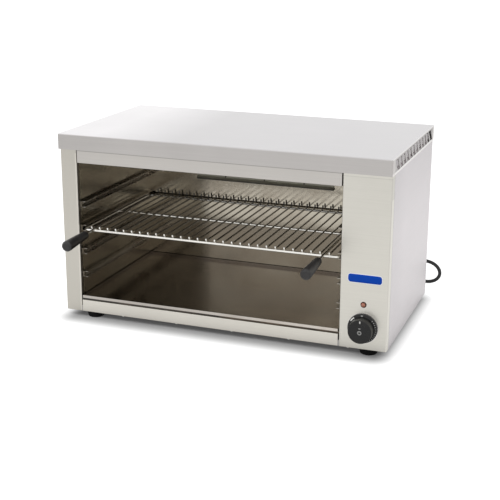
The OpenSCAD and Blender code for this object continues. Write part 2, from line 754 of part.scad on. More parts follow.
// One bar lies on the three cross wires and turns up at both ends
module rack_bar(x) {
    front = rack_front;
    back = rack_back;
    rise_front = frame_wire / 2 + bar_tip_front - (bar_z - frame_z) - bar_bend;
    rise_back = frame_wire / 2 + bar_tip_back - (bar_z - frame_z) - bar_bend;
    translate([x, 0, bar_z]) {
        rod([0, front, 0], back - front, bar_wire, "y");
        translate([0, front, bar_bend]) rotate([90, 0, -90])
            rotate_extrude(angle = -90) translate([bar_bend, 0]) circle(d = bar_wire);
        translate([0, back, bar_bend]) rotate([90, 0, 90])
            rotate_extrude(angle = -90) translate([bar_bend, 0]) circle(d = bar_wire);
        rod([0, front - bar_bend, bar_bend], rise_front, bar_wire);
        rod([0, back + bar_bend, bar_bend], rise_back, bar_wire);
    }
}

module wire_rack() color([0.78, 0.77, 0.74]) {
    rack_frame();
    for (i = [-bar_half_count:bar_half_count]) rack_bar(open_mid + i * bar_pitch);
}

// A handle's own frame: its origin is where the rod's bend ends, its -Y runs down the grip
slope_y = rod_bend_y - rod_bend_r * sin(handle_tilt);
slope_z = rod_z - rod_bend_r * (1 - cos(handle_tilt));
module handle_frame(side) translate([open_mid + side * handle_x, slope_y, slope_z])
    rotate([handle_tilt, 0, 0]) children();

grip_start = (grip_gap - (front_y - slope_y)) / cos(handle_tilt);

// The rod is welded to the middle and front wires and runs out into the grip. Its sloping end is
// turned down by a hair, so it starts inside the bend.
module handle_rod(side) color([0.6, 0.59, 0.57]) {
    rod([open_mid + side * handle_x, rod_bend_y, rod_z], rack_mid - rod_bend_y, rod_d, "y");
    translate([open_mid + side * handle_x, rod_bend_y, rod_z - rod_bend_r]) rotate([180, -90, 0])
        rotate_extrude(angle = handle_tilt) translate([rod_bend_r, 0]) circle(d = rod_d);
    end = grip_start + grip_bore - rod_clear;
    handle_frame(side) rod([0, -end, 0], end + rod_lap, rod_d - rod_step, "y");
}

// A turned grip that widens towards its bevelled front end, with a blind bore for the rod
module grip(side) color([0.12, 0.11, 0.11])
    handle_frame(side) translate([0, -grip_start, 0]) rotate([90, 0, 0]) difference() {
        rear = grip_rear_d / 2;
        wide = grip_d / 2;
        bevel = wide - grip_end_d / 2;
        rotate_extrude() polygon([[0, 0], [rear - 2.4, 0], [rear - 0.8, 0.8], [rear, 3],
            [wide - 0.6, grip_len * 0.7], [wide, grip_len - 2.5 * bevel], [wide, grip_len - 1.3 * bevel],
            [wide - 0.2 * bevel, grip_len - 0.8 * bevel], [wide - 0.8 * bevel, grip_len - 0.15 * bevel],
            [wide - bevel, grip_len], [0, grip_len]]);
        translate([0, 0, -1]) cylinder(h = grip_bore + 1, d = rod_d + 2 * rod_clear);
    }

// ---- tray ----

module crumb_tray() color([0.75, 0.73, 0.7]) difference() {
    block([tray_left, tray_front, floor_top], [tray_right, tray_back, floor_top + tray_h]);
    block([tray_left + liner_t, tray_front + liner_t, floor_top + liner_t],
        [tray_right - liner_t, tray_back - liner_t, floor_top + tray_h + 1]);
}

// ---- controls ----

spindle_out = 16;
knob_hollow_d = 30;
knob_hollow_h = bush_out + 2;

// Skirt, round grip and the blind bore for the spindle, turned about the knob's axis
module knob() color([0.13, 0.13, 0.13])
    translate([knob_x, skirt_back, knob_axis_z]) rotate([90, 0, 0]) difference() {
        union() {
            rotate_extrude() union() {
                polygon([[0, 0], [skirt_d / 2, 0], [skirt_d / 2, skirt_t - 2], [skirt_d / 2 - 1.5, skirt_t],
                    [knob_d / 2 + 1, skirt_t + 1.5], [0, skirt_t + 1.5]]);
                polygon([[0, 0], [knob_d / 2 + 0.6, skirt_t], [knob_d / 2, skirt_t + 2],
                    [knob_d / 2 - 1, knob_h - 2], [0, knob_h - 2]]);
                square([knob_d / 2 - 3, knob_h]);
                translate([knob_d / 2 - 3, knob_h - 2]) circle(r = 2);
            }
        }
        translate([0, 0, -1]) cylinder(h = knob_hollow_h + 1, d = knob_hollow_d);
        cylinder(h = spindle_out, d = spindle_d + 0.2);
    }

module spindle() color([0.7, 0.7, 0.7]) {
    from = skirt_back - spindle_out + 0.1;
    rod([knob_x, from, knob_axis_z], front_y + sheet_t + regulator_d * 0.6 - from, spindle_d, "y");
}

module dial_bezel() color([0.8, 0.8, 0.8])
    translate([knob_x, front_y, knob_axis_z]) rotate([90, 0, 0]) difference() {
        cylinder(h = bezel_t, d = skirt_d + 3);
        translate([0, 0, -1]) cylinder(h = bezel_t + 2, d = skirt_d - 10);
    }

// Moulded housing behind the panel, with the threaded bush that passes through the panel
module regulator() color([0.2, 0.2, 0.22]) difference() {
    union() {
        translate([knob_x, front_y + sheet_t + regulator_d, knob_axis_z]) rotate([90, 0, 0])
            linear_extrude(regulator_d)
                round_rect([-regulator_w / 2, -regulator_w / 2], [regulator_w / 2, regulator_w / 2], 4);
        rod([knob_x, front_y - bush_out, knob_axis_z], bush_out + sheet_t + 1, bush_d, "y");
        for (x = [-14, 0, 14])
            block([knob_x + x - tab_w / 2, front_y + sheet_t + regulator_d - 1, knob_axis_z + 8],
                [knob_x + x + tab_w / 2, front_y + sheet_t + regulator_d + 9, knob_axis_z + 8.8]);
    }
    rod([knob_x, front_y - bush_out - 1, knob_axis_z], bush_out + 1 + sheet_t + regulator_d * 0.7,
        spindle_d + 2 * spindle_clear, "y");
}

module regulator_nut() color([0.75, 0.75, 0.72])
    translate([knob_x, front_y, knob_axis_z]) rotate([90, 0, 0]) difference() {
        cylinder(h = nut_t, d = 16, $fn = 6);
        translate([0, 0, -1]) cylinder(h = nut_t + 2, d = bush_d + 0.2, $fn = 48);
    }

module lamp_rim() color([0.25, 0.12, 0.08])
    translate([knob_x, front_y, lamp_z]) rotate([90, 0, 0]) difference() {
        cylinder(h = 2, d1 = lamp_rim_d, d2 = lamp_rim_d - 2);
        translate([0, 0, -1]) cylinder(h = 4, d = lamp_lens_d + 0.2);
    }

// A lens with a shallow dome
module lamp_lens() color([0.85, 0.45, 0.3]) {
    dome_r = lamp_lens_d;
    dome_in = sqrt(pow(dome_r, 2) - pow(lamp_lens_d / 2, 2));
    translate([knob_x, front_y + sheet_t, lamp_z]) rotate([90, 0, 0]) {
        cylinder(h = sheet_t + 2, d = lamp_lens_d);
        translate([0, 0, sheet_t + 2]) intersection() {
            translate([0, 0, -dome_in]) sphere(r = dome_r);
            cylinder(h = dome_r, d = lamp_lens_d);
        }
    }
}

module lamp_body() color([0.9, 0.9, 0.88]) {
    rod([knob_x, front_y + sheet_t, lamp_z], 22, lamp_rim_d - 1, "y");
    for (x = [-3, 3]) block([knob_x + x - 0.4, front_y + sheet_t + 21, lamp_z - 2.4],
        [knob_x + x + 0.4, front_y + sheet_t + 32, lamp_z + 2.4]);
}

// Three-pole block on the base beside the gland, with a clamp's well and a wire's bore for each pole
module terminal_block() color([0.9, 0.88, 0.8]) {
    mid = terminal_size.x / 2;
    translate([side_in - terminal_side_gap - terminal_size.x, back_in - terminal_back_gap - terminal_size.y,
        base_z + sheet_t]) difference() {
        block([0, 0, 0], terminal_size);
        for (i = [-1:1], y = [6, terminal_size.y - 6])
            translate([mid + i * terminal_pitch, y, 8]) cylinder(h = terminal_size.z, d = 7);
        for (i = [-1:1]) rod([mid + i * terminal_pitch, -1, 6], terminal_size.y + 2, 5, "y");
    }
}

// ---- feet ----

module foot(x, y) color([0.1, 0.1, 0.1]) translate([x, y, 0]) difference() {
    union() {
        cylinder(h = 2, d1 = foot_d - 8, d2 = foot_d - 4);
        translate([0, 0, 2]) cylinder(h = foot_h - 2, d1 = foot_d - 4, d2 = foot_d);
    }
    translate([0, 0, -1]) cylinder(h = 7, d = 15);
    cylinder(h = foot_h + 1, d = foot_bolt_d + 0.4);
}

module foot_bolts() color([0.7, 0.7, 0.7])
    for (x = foot_xs, y = foot_ys) translate([x, y, 0]) {
        translate([0, 0, 2]) cylinder(h = 4, d = 10);
        translate([0, 0, 2]) cylinder(h = foot_h + sheet_t + 6, d = foot_bolt_d);
        difference() {
            translate([0, 0, foot_h + sheet_t]) cylinder(h = 5, d = 11.5, $fn = 6);
            translate([0, 0, foot_h]) cylinder(h = 12, d = foot_bolt_d - 1);
        }
    }

// ---- mains lead ----

// Nut, dome and tapered sleeve outside, thread and lock nut inside
module cord_gland() color([0.12, 0.12, 0.12])
    translate([gland_x, back_y + sheet_gap, gland_z]) rotate([-90, 0, 0]) difference() {
        union() {
            cylinder(h = gland_nut_t, d = gland_nut_d, $fn = 6);
            translate([0, 0, gland_nut_t]) cylinder(h = gland_dome, d1 = 21, d2 = 16);
            translate([0, 0, gland_nut_t + gland_dome])
                cylinder(h = gland_sleeve, d1 = 15, d2 = cord_d + 3);
            translate([0, 0, -sheet_t - 8]) cylinder(h = sheet_t + 8 + tiny, d = gland_hole_d - 0.4);
            translate([0, 0, -sheet_t - 2 * sheet_gap - 5]) cylinder(h = 5, d = gland_nut_d - 1, $fn = 6);
        }
        translate([0, 0, -12]) cylinder(h = 12 + gland_nut_t + gland_dome, d = cord_d);
    }

// Directions of a route: towards the next point at the start, from the one before at the end
function unit(v) = v / norm(v);
function way(p, i) = unit(p[min(i + 1, len(p) - 1)] - p[max(i - 1, 0)]);

// Rings across a route that don't twist: each side vector is the last one, turned by as little as can be
function sides(p, first) = [for (i = 0, s = first; i < len(p); i = i + 1,
    s = i < len(p) ? unit(s - way(p, i) * (s * way(p, i))) : s) s];

// A round tube along a route
module tube(p, d, n = 10) {
    side = sides(p, unit(cross(way(p, 0), [0, 0, 1])));
    rings = [for (i = [0:len(p) - 1], k = [0:n - 1])
        let (a = 360 * k / n, t = way(p, i), u = unit(side[i] - t * (side[i] * t)))
        p[i] + d / 2 * (cos(a) * u + sin(a) * cross(t, u))];
    last = len(p) - 1;
    faces = concat(
        [[for (k = [0:n - 1]) k]],
        [for (i = [0:last - 1], k = [0:n - 1])
            [i * n + k, (i + 1) * n + k, (i + 1) * n + (k + 1) % n, i * n + (k + 1) % n]],
        [[for (k = [n - 1:-1:0]) last * n + k]]);
    polyhedron(rings, faces);
}

module mains_cord() color([0.08, 0.08, 0.08]) {
    tube(concat([[gland_x, cord_start + 0.1, gland_z]], [for (step = lead_steps) from_gland(step)]), cord_d);
    tube([for (step = tail_steps) from_gland(step)], cord_d);
}

// A ring as wide and high as its rows and layers of turns
module cord_coil() color([0.08, 0.08, 0.08])
    translate([gland_x + coil_step_to.x, back_y + coil_step_to.y, 0])
        rotate_extrude() translate([coil_r - coil_rows * coil_pitch / 2, 0])
            square([coil_rows * coil_pitch, coil_layers * coil_pitch]);

// Round two-pin plug: its lead enters at +X and its pins point to -X
module plug() color([0.1, 0.1, 0.1]) translate(from_gland(tail_steps[4])) rotate([0, -90, 0]) {
    translate([0, 0, 0.1]) cylinder(h = plug_sleeve, d1 = cord_d + 3, d2 = 17);
    translate([0, 0, plug_sleeve]) cylinder(h = plug_neck, d1 = 20, d2 = 27);
    translate([0, 0, plug_sleeve + plug_neck]) cylinder(h = plug_face, d = plug_d);
    for (y = [-9.5, 9.5]) translate([0, y, plug_sleeve + plug_neck + plug_face - 1]) {
        cylinder(h = pin_len, d = 4.8);
        translate([0, 0, pin_len]) sphere(d = 4.8);
    }
}

// ---- what is drawn ----

top_cover();
left_side_panel();
right_side_panel();
back_panel();
base_plate();
upper_fascia();
lower_rail();
control_panel();
chamber_left_wall();
chamber_right_wall();
chamber_back_wall();
chamber_ceiling();
chamber_floor();
insulation_slab();
flue_hood();
flue_hood_rivets();
for (level = [1:level_count]) {
    runner(open_left, 1, level);
    runner(open_right, -1, level);
}
element(0);  // element_front
element(1);  // element_middle
element(2);  // element_back
element_brackets();
element_glands();
element_insulators();
element_tabs();
wire_rack();
handle_rod(-1);  // left_handle_rod
handle_rod(1);  // right_handle_rod
grip(-1);  // left_grip
grip(1);  // right_grip
crumb_tray();
knob();
spindle();
dial_bezel();
regulator();
regulator_nut();
lamp_rim();
lamp_lens();
lamp_body();
terminal_block();
foot(foot_xs[0], foot_ys[0]);  // foot_front_left
foot(foot_xs[1], foot_ys[0]);  // foot_front_right
foot(foot_xs[0], foot_ys[1]);  // foot_back_left
foot(foot_xs[1], foot_ys[1]);  // foot_back_right
foot_bolts();
cover_screws();
back_screws();
cord_gland();
mains_cord();
cord_coil();
plug();
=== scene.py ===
import math

import bpy
import numpy as np
from mathutils import Matrix, Vector


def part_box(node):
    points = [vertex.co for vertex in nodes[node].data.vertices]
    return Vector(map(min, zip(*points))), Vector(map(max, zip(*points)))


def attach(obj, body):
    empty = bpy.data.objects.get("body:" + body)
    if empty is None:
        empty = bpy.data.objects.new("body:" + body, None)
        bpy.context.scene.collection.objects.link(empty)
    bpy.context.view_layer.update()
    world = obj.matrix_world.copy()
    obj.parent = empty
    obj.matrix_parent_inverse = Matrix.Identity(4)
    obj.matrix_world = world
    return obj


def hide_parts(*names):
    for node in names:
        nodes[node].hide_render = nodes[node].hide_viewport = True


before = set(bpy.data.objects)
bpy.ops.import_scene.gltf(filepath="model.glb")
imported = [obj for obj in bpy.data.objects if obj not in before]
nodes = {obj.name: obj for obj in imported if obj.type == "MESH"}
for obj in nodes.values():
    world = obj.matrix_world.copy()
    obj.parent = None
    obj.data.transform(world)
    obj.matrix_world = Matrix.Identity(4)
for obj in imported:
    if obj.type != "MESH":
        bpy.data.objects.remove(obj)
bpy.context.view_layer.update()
scene = bpy.context.scene
scene.view_settings.view_transform = "Standard"


view = {
    "target": (0.037885, 0.0633, 0.20303),
    "distance": 2.6536,
    # radians: to the right of the front, above the table, and about the line of sight
    "azimuth": 0.340,
    "height": 0.278,
    "roll": 0.008,
    "lens": 78.12,
    "sensor": 36,
    "shift": (-0.03, -0.04),
    "clip": (0.05, 200),
}


def makeCamera():
    data = bpy.data.cameras.new("camera")
    data.lens, data.sensor_width = view["lens"], view["sensor"]
    data.shift_x, data.shift_y = view["shift"]
    data.clip_start, data.clip_end = view["clip"]
    camera = bpy.data.objects.new("camera", data)
    scene.collection.objects.link(camera)
    az, el = view["azimuth"], view["height"]
    back = Vector((math.sin(az) * math.cos(el), -math.cos(az) * math.cos(el), math.sin(el)))
    turn = (-back).to_track_quat("-Z", "Y").to_matrix().to_4x4()
    camera.matrix_world = turn @ Matrix.Rotation(view["roll"], 4, "Z")
    camera.location = Vector(view["target"]) + back * view["distance"]
    scene.camera = camera


makeCamera()
print("camera placed")


# Another node's socket is linked to this one, a number or a colour is set on it
def feed(tree, socket, value):
    if isinstance(value, bpy.types.NodeSocket):
        tree.links.new(value, socket)
    else:
        socket.default_value = value


def fill(tree, node, sockets):
    for name, value in sockets.items():
        feed(tree, node.inputs[name.replace("_", " ")], value)


# Adds a node and feeds its inputs by their names
def put(tree, kind, **sockets):
    node = tree.nodes.new(kind)
    fill(tree, node, sockets)
    return node


def maths(tree, what, a, b=0.0, clamp=False):
    node = tree.nodes.new("ShaderNodeMath")
    node.operation = what
    node.use_clamp = clamp
    feed(tree, node.inputs[0], a)
    feed(tree, node.inputs[1], b)
    return node.outputs[0]


def blendColour(tree, factor, a, b):
    node = tree.nodes.new("ShaderNodeMix")
    node.data_type = "RGBA"
    for index, value in ((0, factor), (6, a), (7, b)):  # its factor and its two colours
        feed(tree, node.inputs[index], value)
    return node.outputs[2]


# Maps a value from one stretch to another, held at both ends
def spread(tree, value, low, high, newLow, newHigh, how="LINEAR"):
    node = tree.nodes.new("ShaderNodeMapRange")
    node.interpolation_type = how
    for index, v in enumerate((value, low, high, newLow, newHigh)):
        feed(tree, node.inputs[index], v)
    return node.outputs[0]


def scaled(tree, colour, factor):
    node = put(tree, "ShaderNodeVectorMath")
    node.operation = "SCALE"
    feed(tree, node.inputs[0], colour)
    feed(tree, node.inputs["Scale"], factor)
    return node.outputs[0]


def objectPlace(tree):
    return tree.nodes.new("ShaderNodeTexCoord").outputs["Object"]


def noise(tree, where, **sockets):
    return put(tree, "ShaderNodeTexNoise", Vector=where, **sockets).outputs[0]


# Noise lies between 0 and 1, and this moves its middle to 0
def aboutZero(tree, value):
    return maths(tree, "SUBTRACT", value, 0.5)


def newGroup(name, inputs, outputs):
    group = bpy.data.node_groups.new(name, "ShaderNodeTree")
    # the kinds of socket, by how many numbers they hold
    kinds = {1: "NodeSocketFloat", 3: "NodeSocketVector", 4: "NodeSocketColor"}
    for label, default in inputs.items():
        kind = kinds[len(default) if isinstance(default, tuple) else 1]
        socket = group.interface.new_socket(name=label, in_out="INPUT", socket_type=kind)
        socket.default_value = default
    for label in outputs:
        kind = kinds[4 if label.endswith("Colour") else 1]
        group.interface.new_socket(name=label, in_out="OUTPUT", socket_type=kind)
    return group, group.nodes.new("NodeGroupInput"), group.nodes.new("NodeGroupOutput")


def useGroup(tree, group, **sockets):
    node = tree.nodes.new("ShaderNodeGroup")
    node.node_tree = group
    fill(tree, node, sockets)
    return node


brushed = {
    "lines": {"Scale": 1.0, "Detail": 4.0, "Roughness": 0.65},
    "marks": {"Scale": 7.0, "Detail": 3.0, "Roughness": 0.6},
    "toRough": 0.6,  # the share of a change in tone that the roughness takes
    # how the noise is drawn out, for lines that run along an axis
    "along": {"x": (6.0, 800.0, 800.0), "y": (800.0, 6.0, 800.0)},
}


# Fine lines of a brushed sheet: noise that is drawn out along one axis, and soft handling marks.
# The tone is multiplied by 1 + lines * depth + marks * smudge
def makeBrushedGroup():
    group, inside, outside = newGroup(
        "brushedSheet",
        {"Stretch": (10.0, 900.0, 900.0), "Tone": (0.6, 0.6, 0.6, 1), "Depth": 0.1,
         "Smudge": 0.1, "Roughness": 0.35},
        ["Tone Colour", "Rough", "Height"])
    where = objectPlace(group)
    stretch = inside.outputs["Stretch"]
    drawn = put(group, "ShaderNodeMapping", Vector=where, Scale=stretch).outputs[0]
    lines = noise(group, drawn, **brushed["lines"])
    marks = noise(group, where, **brushed["marks"])
    shift = maths(
        group, "ADD",
        maths(group, "MULTIPLY", aboutZero(group, lines), inside.outputs["Depth"]),
        maths(group, "MULTIPLY", aboutZero(group, marks), inside.outputs["Smudge"]))
    tone = scaled(group, inside.outputs["Tone"], maths(group, "ADD", 1.0, shift))
    rough = maths(group, "ADD", inside.outputs["Roughness"],
                  maths(group, "MULTIPLY", shift, brushed["toRough"]), clamp=True)
    fill(group, outside, {"Tone Colour": tone, "Rough": rough, "Height": lines})
    return group


grain = {
    "fineDetail": 2.0,
    "broad": {"Scale": 22.0, "Detail": 4.0},
    "worn": (0.45, 0.75),  # between these values of the broad noise the wear sets in
    "wornTone": (0.30, 0.29, 0.28, 1),
    "toRough": 0.25,
}


# Grain of a moulded or cast surface: fine noise for its height, and broad noise that blends
# in a paler, worn tone and moves the roughness
def makeGrainGroup():
    group, inside, outside = newGroup(
        "mouldedGrain",
        {"Size": 900.0, "Tone": (0.02, 0.02, 0.02, 1), "Wear": 0.2, "Roughness": 0.5},
        ["Tone Colour", "Rough", "Height"])
    where = objectPlace(group)
    fine = noise(group, where, Scale=inside.outputs["Size"], Detail=grain["fineDetail"])
    broad = noise(group, where, **grain["broad"])
    worn = spread(group, broad, *grain["worn"], 0.0, inside.outputs["Wear"])
    tone = blendColour(group, worn, inside.outputs["Tone"], grain["wornTone"])
    shift = maths(group, "MULTIPLY", aboutZero(group, broad), grain["toRough"])
    rough = maths(group, "ADD", inside.outputs["Roughness"], shift, clamp=True)
    fill(group, outside, {"Tone Colour": tone, "Rough": rough, "Height": fine})
    return group


baked = {
    "blots": {"Scale": 9.0, "Detail": 6.0, "Roughness": 0.6},
    "blotEdge": (0.42, 0.68),  # between these values of the noise a blotch grows to its full tint
    "lineStretch": (12.0, 12.0, 700.0),
    "lines": {"Scale": 1.0, "Detail": 3.0},
    "filmToRough": 0.25,
    "linesToRough": 0.06,
}


# Baked-on film inside the chamber: blotches of noise that blend the liner's tone with the
# film's, over level lines left by the rolling of the sheet
def makeBakedGroup():
    group, inside, outside = newGroup(
        "bakedFilm",
        {"Tone": (0.5, 0.47, 0.43, 1), "Film": (0.30, 0.24, 0.18, 1), "Amount": 0.4,
         "Roughness": 0.15},
        ["Tone Colour", "Rough", "Height"])
    where = objectPlace(group)
    blots = noise(group, where, **baked["blots"])
    drawn = put(group, "ShaderNodeMapping", Vector=where, Scale=baked["lineStretch"]).outputs[0]
    lines = noise(group, drawn, **baked["lines"])
    film = maths(group, "MULTIPLY", spread(group, blots, *baked["blotEdge"], 0.0, 1.0),
                 inside.outputs["Amount"])
    tone = blendColour(group, film, inside.outputs["Tone"], inside.outputs["Film"])
    shift = maths(group, "ADD", maths(group, "MULTIPLY", film, baked["filmToRough"]),
                  maths(group, "MULTIPLY", aboutZero(group, lines), baked["linesToRough"]))
    rough = maths(group, "ADD", inside.outputs["Roughness"], shift, clamp=True)
    fill(group, outside, {"Tone Colour": tone, "Rough": rough, "Height": lines})
    return group


farAway = 9.0  # metres, well beyond the object
softEdge = 0.0004  # metres over which a patch's edge fades where nothing else is said
axes = {"x": (1.0, 0.0, 0.0), "y": (0.0, 1.0, 0.0), "z": (0.0, 0.0, 1.0)}


# Multiplies a tone by a factor that runs from Start to End between two places on one axis;
# the place is the product of the point and the axis
def makeRampGroup():
    group, inside, outside = newGroup(
        "toneRamp",
        {"Tone": (0.5, 0.5, 0.5, 1), "Axis": axes["x"], "From": 0.0, "To": 1.0, "Start": 1.0,
         "End": 1.0},
        ["Tone Colour"])
    along = group.nodes.new("ShaderNodeVectorMath")
    along.operation = "DOT_PRODUCT"
    group.links.new(objectPlace(group), along.inputs[0])
    group.links.new(inside.outputs["Axis"], along.inputs[1])
    limits = [inside.outputs[name] for name in ("From", "To", "Start", "End")]
    factor = spread(group, along.outputs["Value"], *limits)
    tone = scaled(group, inside.outputs["Tone"], factor)
    fill(group, outside, {"Tone Colour": tone})
    return group


# Tints a tone inside a box with soft faces: the mask is the product of six steps, two on
# each axis
def makePatchGroup():
    group, inside, outside = newGroup(
        "tonePatch",
        {"Tone": (0.5, 0.5, 0.5, 1), "Tint": (1.0, 1.0, 1.0, 1), "Low": (-farAway,) * 3,
         "High": (farAway,) * 3, "Soft": (softEdge,) * 3},
        ["Tone Colour"])
    where, low, high, soft = (
        put(group, "ShaderNodeSeparateXYZ", Vector=v).outputs
        for v in (objectPlace(group), *(inside.outputs[name] for name in ("Low", "High", "Soft"))))
    mask = 1.0
    for k in range(3):
        for edge, before, after in ((low[k], 0.0, 1.0), (high[k], 1.0, 0.0)):
            step = spread(group, where[k], maths(group, "SUBTRACT", edge, soft[k]),
                          maths(group, "ADD", edge, soft[k]), before, after)
            mask = maths(group, "MULTIPLY", step, mask)
    tint = blendColour(group, mask, (1, 1, 1, 1), inside.outputs["Tint"])
    toned = group.nodes.new("ShaderNodeVectorMath")
    toned.operation = "MULTIPLY"
    group.links.new(inside.outputs["Tone"], toned.inputs[0])
    group.links.new(tint, toned.inputs[1])
    fill(group, outside, {"Tone Colour": toned.outputs[0]})
    return group


brushedGroup = makeBrushedGroup()
grainGroup = makeGrainGroup()
bakedGroup = makeBakedGroup()
rampGroup = makeRampGroup()
patchGroup = makePatchGroup()
print("surface effects made")


def newMaterial(name):
    material = bpy.data.materials.new(name)
    material.use_nodes = True
    tree = material.node_tree
    tree.nodes.clear()
    shader = tree.nodes.new("ShaderNodeBsdfPrincipled")
    end = tree.nodes.new("ShaderNodeOutputMaterial")
    tree.links.new(shader.outputs[0], end.inputs[0])
    return material, tree, shader


# The limits of a stretch that is open at one end
def past(value):
    return value, farAway


def upTo(value):
    return -farAway, value


def threeOf(value):
    return value if isinstance(value, tuple) else (value,) * 3


# Chains the changes of tone ahead of a finish. A ramp is (axis, from, to, factor before, factor
# after). A patch is a dictionary of a tint, the limits of a box and the softness of its faces.
# All places are in metres
def shaded(tree, group, changes):
    for change in changes:
        if isinstance(change, dict):
            low, high = zip(*(change.get(axis, (-farAway, farAway)) for axis in axes))
            link = useGroup(tree, patchGroup, Tint=(*threeOf(change["tint"]), 1), Low=low,
                            High=high, Soft=threeOf(change.get("soft", softEdge)))
        else:
            axis, start, end, before, after = change
            link = useGroup(tree, rampGroup, Axis=axes[axis], From=start, To=end, Start=before,
                            End=after)
        old = group.inputs["Tone"]
        if old.is_linked:
            tree.links.new(old.links[0].from_socket, link.inputs["Tone"])
        else:
            link.inputs["Tone"].default_value = tuple(old.default_value)
        tree.links.new(link.outputs["Tone Colour"], old)


# Links a group's colour, roughness and height to the shader; the bump's depth is in metres
def finishFrom(tree, shader, group, bump, depth):
    tree.links.new(group.outputs["Tone Colour"], shader.inputs["Base Color"])
    tree.links.new(group.outputs["Rough"], shader.inputs["Roughness"])
    if bump:
        node = put(tree, "ShaderNodeBump", Strength=bump, Distance=depth,
                   Height=group.outputs["Height"])
        tree.links.new(node.outputs[0], shader.inputs["Normal"])


bumpDepth = {"brushed": 0.0002, "liner": 0.0002, "moulded": 0.0003, "lens": 0.0004}
linerBump = 0.03


def brushedSteel(name, tone, rough=0.34, along="x", depth=0.16, bump=0.06, changes=()):
    material, tree, shader = newMaterial(name)
    shader.inputs["Metallic"].default_value = 1.0
    group = useGroup(tree, brushedGroup, Stretch=brushed["along"][along], Tone=(*tone, 1),
                     Depth=depth, Roughness=rough)
    shaded(tree, group, changes)
    finishFrom(tree, shader, group, bump, bumpDepth["brushed"])
    return material


def moulded(name, tone, rough=0.5, size=900.0, wear=0.1, bump=0.15, metallic=0.0, shine=0.5,
            changes=()):
    material, tree, shader = newMaterial(name)
    shader.inputs["Metallic"].default_value = metallic
    shader.inputs["Specular IOR Level"].default_value = shine
    group = useGroup(tree, grainGroup, Size=size, Tone=(*tone, 1), Wear=wear, Roughness=rough)
    shaded(tree, group, changes)
    finishFrom(tree, shader, group, bump, bumpDepth["moulded"])
    return material


def liner(name, tone, amount=0.4, rough=0.15, changes=()):
    material, tree, shader = newMaterial(name)
    shader.inputs["Metallic"].default_value = 1.0
    group = useGroup(tree, bakedGroup, Tone=(*tone, 1), Amount=amount, Roughness=rough)
    shaded(tree, group, changes)
    finishFrom(tree, shader, group, linerBump, bumpDepth["liner"])
    return material


lens = {
    "tone": (0.50, 0.20, 0.13, 1),
    "size": 1400.0,
    "rough": 0.2,
    "bump": 0.05,
    "shader": {"Coat Weight": 0.3, "Subsurface Weight": 0.3, "Subsurface Scale": 0.003},
}


def makeLens():
    material, tree, shader = newMaterial("lampLens")
    group = useGroup(tree, grainGroup, Size=lens["size"], Tone=lens["tone"], Wear=0.0,
                     Roughness=lens["rough"])
    finishFrom(tree, shader, group, lens["bump"], bumpDepth["lens"])
    fill(tree, shader, lens["shader"])
    return material


